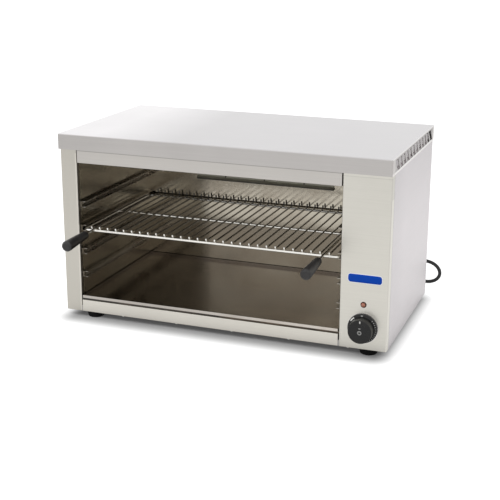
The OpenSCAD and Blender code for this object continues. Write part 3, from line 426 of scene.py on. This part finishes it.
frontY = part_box("control_panel")[0][1]
faceBack = frontY + 0.0025  # just behind the skin of the front faces
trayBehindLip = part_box("crumb_tray")[0][1] + 0.0016
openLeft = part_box("left_side_panel")[1][0]
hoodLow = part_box("flue_hood")[0][2]
rackLow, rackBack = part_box("wire_rack")[0][2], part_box("wire_rack")[1][1]
skirtTop = 0.4493  # where the cover's bend into its top begins
sideSkin = 0.3990  # right side of the cover, from here outwards
slotField = (-0.136, 0.262)  # the stretch of it that has slots
slotsLow, slotsHigh = 0.4192, 0.4466
toneChanges = {
    "top_cover": [
        # painted light: the top is brighter towards its left end, and a little darker towards the
        # front
        ("x", -0.31, -0.11, 1.33, 1.0),
        ("y", -0.12, 0.27, 0.98, 1.0),
        # painted shade: the skirt is duller than the top, most of all at the left end of the front
        {"tint": (0.785, 0.767, 0.738), "z": upTo(skirtTop), "soft": 0.0012},
        {"tint": 0.74, "x": upTo(-0.21), "y": upTo(frontY), "z": upTo(skirtTop),
         "soft": (0.1, 0.001, 0.0012)},
        # painted light and shade on the right: it is bright round the dull field of slots, whose
        # lower half is brighter
        {"tint": 1.34, "x": past(sideSkin), "soft": 0.0008},
        {"tint": 0.56, "x": past(sideSkin), "y": slotField, "z": (slotsLow, slotsHigh),
         "soft": 0.0006},
        {"tint": 1.42, "x": past(sideSkin), "y": slotField, "z": (slotsLow, 0.436),
         "soft": (0.0006, 0.0006, 0.006)},
        {"tint": 1.28, "x": past(sideSkin), "z": upTo(slotsLow), "soft": 0.0006}],
    "left_side_panel": [
        # painted shade: the post's return into the chamber is as dull as the liner behind it
        {"tint": 0.45, "x": past(-0.3960), "y": past(faceBack), "soft": 0.001},
        # painted highlight: the post's bend beside the opening is bright
        {"tint": 1.22, "x": past(openLeft - 0.0036), "y": upTo(faceBack), "z": upTo(0.405)}],
    "right_side_panel": [
        # painted light and shade: a little darker at the foot and at the top, and towards the
        # front
        ("z", 0.02, 0.16, 0.98, 1.05),
        ("z", 0.28, 0.41, 1.0, 0.94),
        ("y", frontY + 0.02, 0.0, 0.95, 1.02),
        # painted shade: its front edge lies in the seam and is darkened
        {"tint": 0.50, "y": upTo(frontY + 0.0205), "soft": 0.001}],
    "control_panel": [
        # painted shade: two fine lines below the cover, where the top edge is folded, and the
        # panel below them a little darker
        {"tint": 0.82, "z": (0.4126, 0.4142)},
        {"tint": 0.86, "z": (0.4058, 0.4074)},
        {"tint": 0.97, "z": upTo(0.4058)},
        # painted highlight: the edge that is turned round the corner is bright
        {"tint": 1.27, "x": past(0.3972), "y": past(frontY + 0.002), "z": upTo(0.36),
         "soft": 0.001},
        {"tint": 1.08, "x": past(0.3972), "y": past(frontY + 0.002), "z": past(0.36),
         "soft": 0.001}],
    # the fascia's top lies in the shade of the cover's lip
    "upper_fascia": [{"tint": 0.62, "z": past(0.4106)}],
    # painted shade in the gap between rail and tray, darker to the right
    "lower_rail": [
        {"tint": 0.62, "y": past(frontY + 0.0022), "soft": 0.0006},
        {"tint": 0.45, "x": past(0.0), "y": past(frontY + 0.0022),
         "soft": (0.12, 0.0006, 0.0006)}],
    "chamber_floor": [
        # painted shade: its front under the tray is dark, and darker still to the right
        {"tint": 0.16, "y": upTo(frontY + 0.012), "soft": 0.001},
        {"tint": 0.25, "x": past(0.0), "y": upTo(frontY + 0.012), "soft": (0.12, 0.001, 0.001)}],
    # painted light and shade: the back wall is brighter to the right of a sharp line, and dies
    # away at its left end
    "chamber_back_wall": [
        {"tint": 1.30, "x": past(-0.184), "soft": 0.003},
        ("x", -0.16, 0.02, 1.0, 1.10),
        ("x", -0.30, -0.19, 1.0, 0.9)],
    "crumb_tray": [
        # the outside of its lip is about twice as bright as the rest of the tray
        {"tint": (2.0, 2.12, 2.25), "y": upTo(trayBehindLip)},
        # painted light: a little brighter to the right
        ("x", -0.2, 0.25, 1.0, 1.03),
        # painted light: brighter still at the front right
        {"tint": 1.75, "x": past(0.05), "y": (trayBehindLip, -0.095),
         "soft": (0.16, 0.05, softEdge)}],
    # the hood's lower edge lies in its own shade
    "flue_hood": [{"tint": 0.22, "z": upTo(hoodLow + 0.0034)}],
    "wire_rack": [
        # painted shade: the bars are dull from a little behind the front on, and so is the back
        # end
        {"tint": 0.30, "y": past(frontY + 0.024), "z": past(rackLow + 0.006), "soft": 0.0008},
        {"tint": 0.35, "y": past(rackBack - 0.012), "z": past(rackLow + 0.003), "soft": 0.001}],
}


def makeFinishes():
    change = toneChanges
    wallTone, panTone = (0.385, 0.355, 0.295), (0.42, 0.39, 0.35)
    finishes = {
        # painted light and shade: the brushed sheets are one steel, but each piece's tone is set
        # by how light falls on it, the fascia and the left post darker, the right side and the
        # rail brighter
        "top_cover": brushedSteel(
            "coverSteel", (0.695, 0.682, 0.687), changes=change["top_cover"]),
        "left_side_panel": brushedSteel(
            "leftSideSteel", (0.575, 0.55, 0.495), along="y", changes=change["left_side_panel"]),
        "right_side_panel": brushedSteel(
            "rightSideSteel", (0.76, 0.725, 0.735), along="y",
            changes=change["right_side_panel"]),
        "control_panel": brushedSteel(
            "controlPanelSteel", (0.70, 0.68, 0.62), changes=change["control_panel"]),
        "upper_fascia": brushedSteel(
            "fasciaSteel", (0.575, 0.55, 0.52), changes=change["upper_fascia"]),
        "lower_rail": brushedSteel(
            "railSteel", (0.73, 0.70, 0.635), changes=change["lower_rail"]),
        "back_panel": brushedSteel("backSteel", (0.62, 0.61, 0.60), rough=0.42),
        "base_plate": brushedSteel("baseSteel", (0.55, 0.54, 0.53), rough=0.45),
        "chamber_left_wall": liner("leftWallLiner", wallTone),
        "chamber_right_wall": liner("rightWallLiner", wallTone),
        "chamber_back_wall": liner(
            "backWallLiner", wallTone, rough=0.11, changes=change["chamber_back_wall"]),
        "chamber_ceiling": liner("ceilingLiner", panTone, amount=0.7, rough=0.3),
        "chamber_floor": liner(
            "floorLiner", panTone, amount=0.5, rough=0.25, changes=change["chamber_floor"]),
        "crumb_tray": liner(
            "traySteel", (0.25, 0.22, 0.19), amount=0.3, rough=0.16,
            changes=change["crumb_tray"]),
        "flue_hood": moulded(
            "hoodSteel", (0.66, 0.645, 0.53), bump=0.05, metallic=0.2,
            changes=change["flue_hood"]),
        "flue_hood_rivets": brushedSteel(
            "hoodRivets", (0.06, 0.055, 0.05), rough=0.4, depth=0.2),
        "insulation_slab": moulded(
            "mineralWool", (0.60, 0.54, 0.36), rough=0.95, size=260, wear=0.5, bump=0.8),
        "wire_rack": brushedSteel(
            "rackChrome", (0.90, 0.88, 0.83), rough=0.20, along="y", depth=0.1, bump=0.0,
            changes=change["wire_rack"]),
        "dial_bezel": brushedSteel("bezelSteel", (0.70, 0.68, 0.66), rough=0.25),
        "element_brackets": liner("bracketSteel", (0.40, 0.38, 0.35), amount=0.6, rough=0.35),
        "element_glands": moulded(
            "glandBrass", (0.45, 0.32, 0.12), rough=0.35, metallic=1.0, wear=0.2, bump=0.05),
        "element_insulators": moulded(
            "ceramicCollar", (0.82, 0.80, 0.74), rough=0.3, wear=0.05, bump=0.03),
        "terminal_block": moulded(
            "terminalPlastic", (0.80, 0.77, 0.66), rough=0.45, wear=0.05),
        "lamp_body": moulded("lampHousing", (0.78, 0.76, 0.70), rough=0.4, wear=0.05),
        "lamp_lens": makeLens(),
        "lamp_rim": moulded(
            "lampRim", (0.055, 0.017, 0.010), rough=0.3, wear=0.03, bump=0.03, shine=0.3),
        "regulator": moulded("regulatorCase", (0.03, 0.03, 0.035)),
        "knob": moulded(
            "knobPlastic", (0.010, 0.0098, 0.0095), rough=0.27, size=1500, wear=0.02,
            bump=0.05, shine=0.33),
        "cord_gland": moulded("glandRubber", (0.022, 0.022, 0.022)),
        "plug": moulded("plugRubber", (0.022, 0.022, 0.022)),
    }
    shared = (
        (("element_front", "element_middle", "element_back"), moulded(
            "elementSheath", (0.12, 0.12, 0.12), size=300, wear=0.35, bump=0.2, metallic=0.6)),
        ([name for name in nodes if "_runner_" in name], liner(
            "runnerSteel", (0.46, 0.43, 0.39), amount=0.35, rough=0.22)),
        (("left_handle_rod", "right_handle_rod"), brushedSteel(
            "rodChrome", (0.72, 0.70, 0.66), rough=0.22, along="y", depth=0.1, bump=0.0)),
        (("left_grip", "right_grip"), moulded(
            "gripPlastic", (0.016, 0.015, 0.015), rough=0.42, size=1200, wear=0.05, bump=0.12)),
        ([name for name in nodes if name.startswith("foot_") and name != "foot_bolts"], moulded(
            "footRubber", (0.009, 0.009, 0.009), rough=0.7, size=700, wear=0.02, bump=0.25,
            shine=0.06)),
        (("mains_cord", "cord_coil"), leadRubber))
    for names, material in shared:
        finishes.update(dict.fromkeys(names, material))
    return finishes


leadRubber = moulded("leadRubber", (0.018, 0.018, 0.018), rough=0.55, size=800, wear=0.05)
screwSteel = brushedSteel("screwSteel", (0.68, 0.67, 0.66), rough=0.28, depth=0.3)
finishes = makeFinishes()
for name in nodes:
    mesh = nodes[name].data
    mesh.materials.clear()
    mesh.materials.append(finishes.get(name, screwSteel))
print("finishes on", len(nodes), "pieces")


def meshPiece(name, corners, faces, body, slot, material, smooth=False):
    mesh = bpy.data.meshes.new(name)
    mesh.from_pydata([tuple(c) for c in corners], [], [tuple(map(int, f)) for f in faces])
    mesh.validate()
    mesh.update()
    if smooth:
        mesh.polygons.foreach_set("use_smooth", [True] * len(mesh.polygons))
    mesh.materials.append(material)
    piece = bpy.data.objects.new(name, mesh)
    scene.collection.objects.link(piece)
    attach(piece, body)


# Quads between neighbouring rings of a grid of points: corner k of ring i joins corner k + 1,
# and the same two of ring i + 1
def ringFaces(rows, around, closed=True):
    across = around if closed else around - 1
    i, k = np.meshgrid(np.arange(rows - 1), np.arange(across), indexing="ij")
    nextK = (k + 1) % around
    quads = [i * around + k, i * around + nextK, (i + 1) * around + nextK, (i + 1) * around + k]
    return np.stack(quads, -1).reshape(-1, 4)


# The diameter and the gland's place are in metres. The rest is in millimetres from that place,
# and turns are counted from the coil's start
lead = {
    "diameter": 0.0092,
    "gland": (0.340, 0.27813),
    "start": (0, 39.2, 72),
    "steps": [
        (0, 54, 72), (5, 73, 72), (19, 87, 72), (38, 92, 72), (56.6, 94, 67.5),
        (70, 100, 55.3), (75, 108, 38.5), (70, 116, 21.8), (56.6, 122, 9.5), (38, 124, 5),
        (19, 125.4, 4.7), (0, 127.4, 4.7), (-19, 129.6, 4.7), (-38, 131.2, 4.7),
        (-56, 131.6, 4.7), (-73, 131.6, 4.7), (-89, 131.6, 4.7)],
    # the ways it runs where one arc ends and the next one starts, by the number of the point
    "ways": {1: (0, 1, 0), 4: (1, 0, 0), 10: (-1, 0.04, 0)},
    "coil": (-106, 72),
    "radius": 59.6,
    "startAngle": 90,
    "layers": (4.8, 14.4),
    "turns": 5,
    "perTurn": 16,
    # between these turns it moves one lead's width inwards or outwards, and to the upper layer
    "pitch": 9.6,
    "inwards": ((0.5, 1.0), (1.5, 2.0)),
    "outwards": ((3.1, 3.6), (4.1, 4.6)),
    "climb": (2.35, 2.85),
    "tail": [(-112, 131.6, 14.4), (-130, 132, 14.6), (-148, 133, 15.6), (-164, 134, 17.3),
             (-178, 134.5, 18.5)],
    "smoothness": 4,  # steps between two points of the route, and in a quarter of its section
}


# A soft step from 0 to 1: u * u * (3 - 2 * u) of the share u of the way from start to end
def ease(t, start, end):
    u = np.clip((t - start) / (end - start), 0, 1)
    return u * u * (3 - 2 * u)


# The coil's middle line, in turns t: a circle whose radius eases inwards by one lead's width in
# each of the first two turns, climbs to the upper layer, and eases outwards again twice
def coilPoints():
    low, high = lead["layers"]
    t = np.linspace(0, lead["turns"], lead["turns"] * lead["perTurn"] + 1)
    inwards = sum(ease(t, *stretch) for stretch in lead["inwards"])
    outwards = sum(ease(t, *stretch) for stretch in lead["outwards"])
    r = lead["radius"] - lead["pitch"] * (inwards - outwards)
    z = low + (high - low) * ease(t, *lead["climb"])
    a = np.radians(lead["startAngle"] + 360 * t)
    return np.stack([lead["coil"][0] + r * np.cos(a), lead["coil"][1] + r * np.sin(a), z], 1)


# The direction of a route at each point: that of the circle through it and its two neighbours,
# which is the mean of the two ways there, each weighted by the other one's length
def routeDirections(points):
    steps = np.diff(points, axis=0)
    far = np.linalg.norm(steps, axis=1, keepdims=True)
    ways = steps / far
    middle = ways[:-1] * far[1:] + ways[1:] * far[:-1]
    found = np.concatenate([ways[:1], middle, ways[-1:]])
    for k, way in lead["ways"].items():
        found[k] = way
    return found / np.linalg.norm(found, axis=1, keepdims=True), far


# A Bezier curve through the route. Its handles are a third of the way to the next point, over
# the squared cosine of a quarter of the turn between the two, so that equal steps give a circle
def makeLead():
    route = np.concatenate([np.array([lead["start"], *lead["steps"]], float), coilPoints(),
                            np.array(lead["tail"], float)])
    points = route / 1000 + np.array([*lead["gland"], 0])
    curve = bpy.data.curves.new("leadLine", "CURVE")
    curve.dimensions = "3D"
    curve.bevel_depth = lead["diameter"] / 2
    curve.bevel_resolution = curve.resolution_u = lead["smoothness"]
    curve.use_fill_caps = True
    spline = curve.splines.new("BEZIER")
    spline.bezier_points.add(len(points) - 1)
    ways, far = routeDirections(points)
    turned = np.arccos(np.clip((ways[1:] * ways[:-1]).sum(1, keepdims=True), -1, 1))
    third = far / 3 / np.cos(turned / 4) ** 2
    before = points - ways * np.concatenate([third[:1], third])
    after = points + ways * np.concatenate([third, third[-1:]])
    for p in spline.bezier_points:
        p.handle_left_type = p.handle_right_type = "FREE"
    for name, places in (("co", points), ("handle_left", before), ("handle_right", after)):
        spline.bezier_points.foreach_set(name, places.astype(np.float32).ravel())
    curve.materials.append(leadRubber)
    piece = bpy.data.objects.new("mains_lead", curve)
    scene.collection.objects.link(piece)
    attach(piece, "cabinet")
    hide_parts("mains_cord", "cord_coil")


makeLead()


badge = {
    "middle": (0.3455, 0.1795),
    "half": (0.0395, 0.0108),
    "corner": 0.0075,
    "leastRadius": 0.0002,
    "perCorner": 12,
    # rings from the edge inwards: how far in, and how far proud of the panel
    "rimRings": [(0.0, 0.0), (0.0, 0.0007), (0.0003, 0.0010), (0.0013, 0.0010),
                 (0.0015, 0.0008), (0.0015, 0.0)],
    "faceRings": [(0.0015, 0.0001), (0.0015, 0.0009), (0.0020, 0.0012), (0.0045, 0.0015),
                  (0.0072, 0.0016)],
}


# Outlines of a rectangle with round corners, each drawn in by its own distance: a corner is a
# quarter circle about a point that lies the corner's radius, or the inset if larger, from both
# of its sides
def badgeRings(rings):
    inset, proud = np.array(rings).T[:, :, None, None]
    sideX, sideZ = np.array([(1, 1), (-1, 1), (-1, -1), (1, -1)]).T[:, :, None]
    a = np.linspace(0, np.pi / 2, badge["perCorner"]) + np.arange(4)[:, None] * np.pi / 2
    r = np.maximum(badge["corner"] - inset, badge["leastRadius"])
    back = np.maximum(badge["corner"], inset)
    x = badge["middle"][0] + sideX * (badge["half"][0] - back) + r * np.cos(a)
    z = badge["middle"][1] + sideZ * (badge["half"][1] - back) + r * np.sin(a)
    y = frontY - proud + np.zeros_like(x)
    return np.stack([x, y, z], -1).reshape(-1, 3)


# A rim whose rings join up into a closed tube, and a low dome of rings with both ends capped
def makeBadge():
    around = 4 * badge["perCorner"]
    rimTone = brushedSteel("badgeRimSteel", (0.86, 0.87, 0.89), rough=0.3, depth=0.05)
    enamel = moulded("badgeEnamel", (0.001, 0.062, 0.46), rough=0.4, size=1500, wear=0.02,
                     bump=0.03, shine=0.15)
    rings = badge["rimRings"]
    faces = ringFaces(len(rings) + 1, around) % (len(rings) * around)
    meshPiece("badge_rim", badgeRings(rings), faces, "cabinet", "rivet_steel", rimTone)
    rings = badge["faceRings"]
    count = len(rings) * around
    faces = [*ringFaces(len(rings), around), range(around - 1, -1, -1),
             range(count - around, count)]
    meshPiece("badge_face", badgeRings(rings), faces, "cabinet", "lamp_lens_plastic", enamel)
    print("badge made")


makeBadge()


dial = {
    "axis": (0.3438, 0.065),
    "back": frontY - 0.0015,
    # height of the knob's surface over its skirt's back, by distance from the axis
    "profile": [(0.0, 0.028), (0.025, 0.028), (0.0260, 0.02775), (0.0268, 0.0270),
                (0.0285, 0.0066), (0.0290, 0.0065), (0.0325, 0.0050)],
    "proud": 0.00012,
    # marks: angle from and to in degrees, distance from and to in millimetres
    "white": [(127, 148, 29.4, 32.2), (85.5, 92.5, 20.4, 25.6)],
    "grey": [(88, 96, 29.4, 32.0), (74, 106, 7.2, 10.0)],
    "ticks": {"from": -62, "to": 52, "step": 9.5, "width": 3.2, "reach": (29.7, 32.2)},
    "markSteps": 9,
    # middle, inner and outer radius in millimetres
    "ring": ((0.0, -1.4), 2.4, 4.9),
    "ringSteps": (8, 3),
}


# Height of the knob's surface: straight lines between the profile's points
def dialHeight(r):
    return np.interp(r, *zip(*dial["profile"]))


# A thin closed pad that follows the knob's surface: a grid over angle and distance, its upper
# side a little proud of the surface and its lower side as far below it
def padMesh(xs, zs):
    rows, cols = xs.shape
    r = np.hypot(xs, zs)
    sheets = [np.stack([dial["axis"][0] + xs,
                        dial["back"] - dialHeight(r) - side * dial["proud"],
                        dial["axis"][1] + zs], -1).reshape(-1, 3) for side in (1, -1)]
    top = ringFaces(rows, cols, closed=False)
    under = top[:, ::-1] + rows * cols
    i = np.arange(rows * cols).reshape(rows, cols)
    rim = np.concatenate([i[0, :-1], i[:-1, -1], i[-1, :0:-1], i[:0:-1, 0]])
    nextRim = np.roll(rim, -1)
    wall = np.stack([nextRim, rim, rim + rows * cols, nextRim + rows * cols], -1)
    return np.concatenate(sheets), np.concatenate([top, under, wall])


# A pad between two angles and two distances, about the dial's axis or a point beside it
def polarPad(start, end, near, far, middle=(0.0, 0.0), steps=(dial["markSteps"],) * 2):
    a, r = np.meshgrid(np.radians(np.linspace(start, end, steps[0])),
                       np.linspace(near, far, steps[1]) / 1000, indexing="ij")
    return padMesh(middle[0] / 1000 + r * np.cos(a), middle[1] / 1000 + r * np.sin(a))


def joinPads(pads):
    starts = np.cumsum([0] + [len(corners) for corners, faces in pads])
    return (np.concatenate([corners for corners, faces in pads]),
            np.concatenate([faces + start for (corners, faces), start in zip(pads, starts)]))


# Marks, scale and ring are polar pads; the ring is made of four quarters
def makeDial():
    white = moulded("dialWhite", (0.78, 0.77, 0.74), size=1800, bump=0.05)
    grey = moulded("dialGrey", (0.33, 0.33, 0.32), size=1800, bump=0.05)
    t = dial["ticks"]
    ticks = [polarPad(a - t["width"] / 2, a + t["width"] / 2, *t["reach"])
             for a in np.arange(t["from"], t["to"], t["step"])]
    middle, near, far = dial["ring"]
    ring = [polarPad(a, a + 90, near, far, middle, dial["ringSteps"]) for a in range(0, 360, 90)]
    for name, pads, material in (
            ("dial_pointer", [polarPad(*mark) for mark in dial["white"]], white),
            ("dial_scale", [polarPad(*mark) for mark in dial["grey"]] + ticks, grey),
            ("dial_ring", ring, grey)):
        meshPiece(name, *joinPads(pads), "knob", "pale_plastic", material)
    print("dial marks made")


makeDial()


studs = {
    "count": 5,
    "first": -0.248,
    "pitch": 0.1396,
    "behindFront": 0.0036,
    "top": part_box("lower_rail")[0][2],
    # half width and drop of a stud's head in millimetres, from its rim to its crown
    "profile": [(3.3, 0.0), (3.3, 0.9), (3.0, 1.6), (2.3, 2.2), (1.2, 2.5)],
    "around": 20,
}


# Round heads under the rail: each is a profile turned about an upright axis, closed above and
# below
def makeStuds():
    around, rows = studs["around"], len(studs["profile"])
    r, drop = np.array(studs["profile"]).T[:, :, None] / 1000
    a = np.linspace(0, 2 * np.pi, around, endpoint=False)
    x = (studs["first"] + studs["pitch"] * np.arange(studs["count"]))[:, None, None]
    corners = np.stack(np.broadcast_arrays(
        x + r * np.cos(a), frontY + studs["behindFront"] + r * np.sin(a), studs["top"] - drop),
        -1).reshape(-1, 3)
    head = [*ringFaces(rows, around)[:, ::-1], np.arange(around),
            np.arange(rows * around - 1, (rows - 1) * around - 1, -1)]
    faces = [face + k * rows * around for k in range(studs["count"]) for face in head]
    pale = brushedSteel("studSteel", (0.86, 0.85, 0.80), rough=0.3)
    meshPiece("rail_studs", corners, faces, "cabinet", "rivet_steel", pale, smooth=True)
    print("rail studs made")


makeStuds()


studio = {
    "floorTone": (0.36, 0.36, 0.36),
    "floorHalf": 40.0,
    # how strong the air lights the object, and how bright it is to the eye and in metal
    "airLight": 0.50,
    "airSeen": 1.0,
    # the floor's own light as the camera sees it, from the object's edge outwards, and how far it
    # takes to rise. It is cut away round the casing, so the floor's shadow there is partly the
    # lamps' real one and partly painted
    "floorGlow": (0.05, 1.0),
    "glowReach": 0.075,
    # the share of it that polished metal sees
    "glowInMetal": 0.58,
    # middle and half size of the shaded patch of floor under the casing, where the low glow paints
    # the shadow
    "patch": ((0.0, 0.060), (0.368, 0.208)),
    "lamps": [
        # name, place, aimed at, size, power
        ("frontSoftbox", (-0.55, -1.35, 2.0), (0.0, -0.2, 0.1), (2.4, 1.4), 42),
        ("overhead", (0.1, 0.5, 2.1), (0.0, 0.1, 0.2), (1.6, 1.2), 10),
    ],
}


# 1 where the camera looks, a given share of it in reflections, and 0 for light on the object
def rayMask(tree, glossy=1.0):
    path = tree.nodes.new("ShaderNodeLightPath")
    reflected = maths(tree, "MULTIPLY", path.outputs["Is Glossy Ray"], glossy)
    seen = maths(tree, "MAXIMUM", path.outputs["Is Camera Ray"], reflected)
    return maths(tree, "MAXIMUM", seen, path.outputs["Is Transmission Ray"])


# How far a place on the floor is from the patch under the casing: the root of the squares of
# what lies beyond the patch's half size along x and along y
def awayFromPatch(tree):
    split = put(tree, "ShaderNodeSeparateXYZ", Vector=objectPlace(tree))
    squares = []
    for k, (middle, half) in enumerate(zip(*studio["patch"])):
        off = maths(tree, "ABSOLUTE", maths(tree, "SUBTRACT", split.outputs[k], middle))
        beyond = maths(tree, "MAXIMUM", maths(tree, "SUBTRACT", off, half), 0.0)
        squares.append(maths(tree, "MULTIPLY", beyond, beyond))
    return maths(tree, "SQRT", maths(tree, "ADD", *squares))


def makeAir():
    world = bpy.data.worlds.new("studioAir")
    scene.world = world
    world.use_nodes = True
    tree = world.node_tree
    tree.nodes.clear()
    strength = spread(tree, rayMask(tree), 0, 1, studio["airLight"], studio["airSeen"])
    air = put(tree, "ShaderNodeBackground", Color=(1, 1, 1, 1), Strength=strength)
    end = tree.nodes.new("ShaderNodeOutputWorld")
    tree.links.new(air.outputs[0], end.inputs[0])


def makeFloor():
    half = studio["floorHalf"]
    floor = bpy.data.meshes.new("floor")
    floor.from_pydata([(-half, -half, 0), (half, -half, 0), (half, half, 0), (-half, half, 0)],
                      [], [(0, 1, 2, 3)])
    floorPiece = bpy.data.objects.new("floor", floor)
    scene.collection.objects.link(floorPiece)
    material = bpy.data.materials.new("paperSweep")
    material.use_nodes = True
    tree = material.node_tree
    tree.nodes.clear()
    glow = spread(tree, awayFromPatch(tree), 0.0, studio["glowReach"], *studio["floorGlow"],
                  "SMOOTHSTEP")
    seen = maths(tree, "MULTIPLY", glow, rayMask(tree, studio["glowInMetal"]))
    paper = put(tree, "ShaderNodeBsdfDiffuse", Color=(*studio["floorTone"], 1))
    light = put(tree, "ShaderNodeEmission", Color=(1, 1, 1, 1), Strength=seen)
    both = tree.nodes.new("ShaderNodeAddShader")
    tree.links.new(paper.outputs[0], both.inputs[0])
    tree.links.new(light.outputs[0], both.inputs[1])
    end = tree.nodes.new("ShaderNodeOutputMaterial")
    tree.links.new(both.outputs[0], end.inputs[0])
    floor.materials.append(material)


# Metal doesn't mirror the lamps themselves
def makeLamps():
    for name, at, aim, size, power in studio["lamps"]:
        data = bpy.data.lights.new(name, "AREA")
        data.shape = "RECTANGLE"
        data.size, data.size_y = size
        data.energy = power
        lamp = bpy.data.objects.new(name, data)
        scene.collection.objects.link(lamp)
        lamp.location = at
        lamp.rotation_mode = "QUATERNION"
        lamp.rotation_quaternion = (Vector(aim) - Vector(at)).to_track_quat("-Z", "Y")
        lamp.visible_glossy = False


makeAir()
makeFloor()
makeLamps()
print("stage and lamps set")
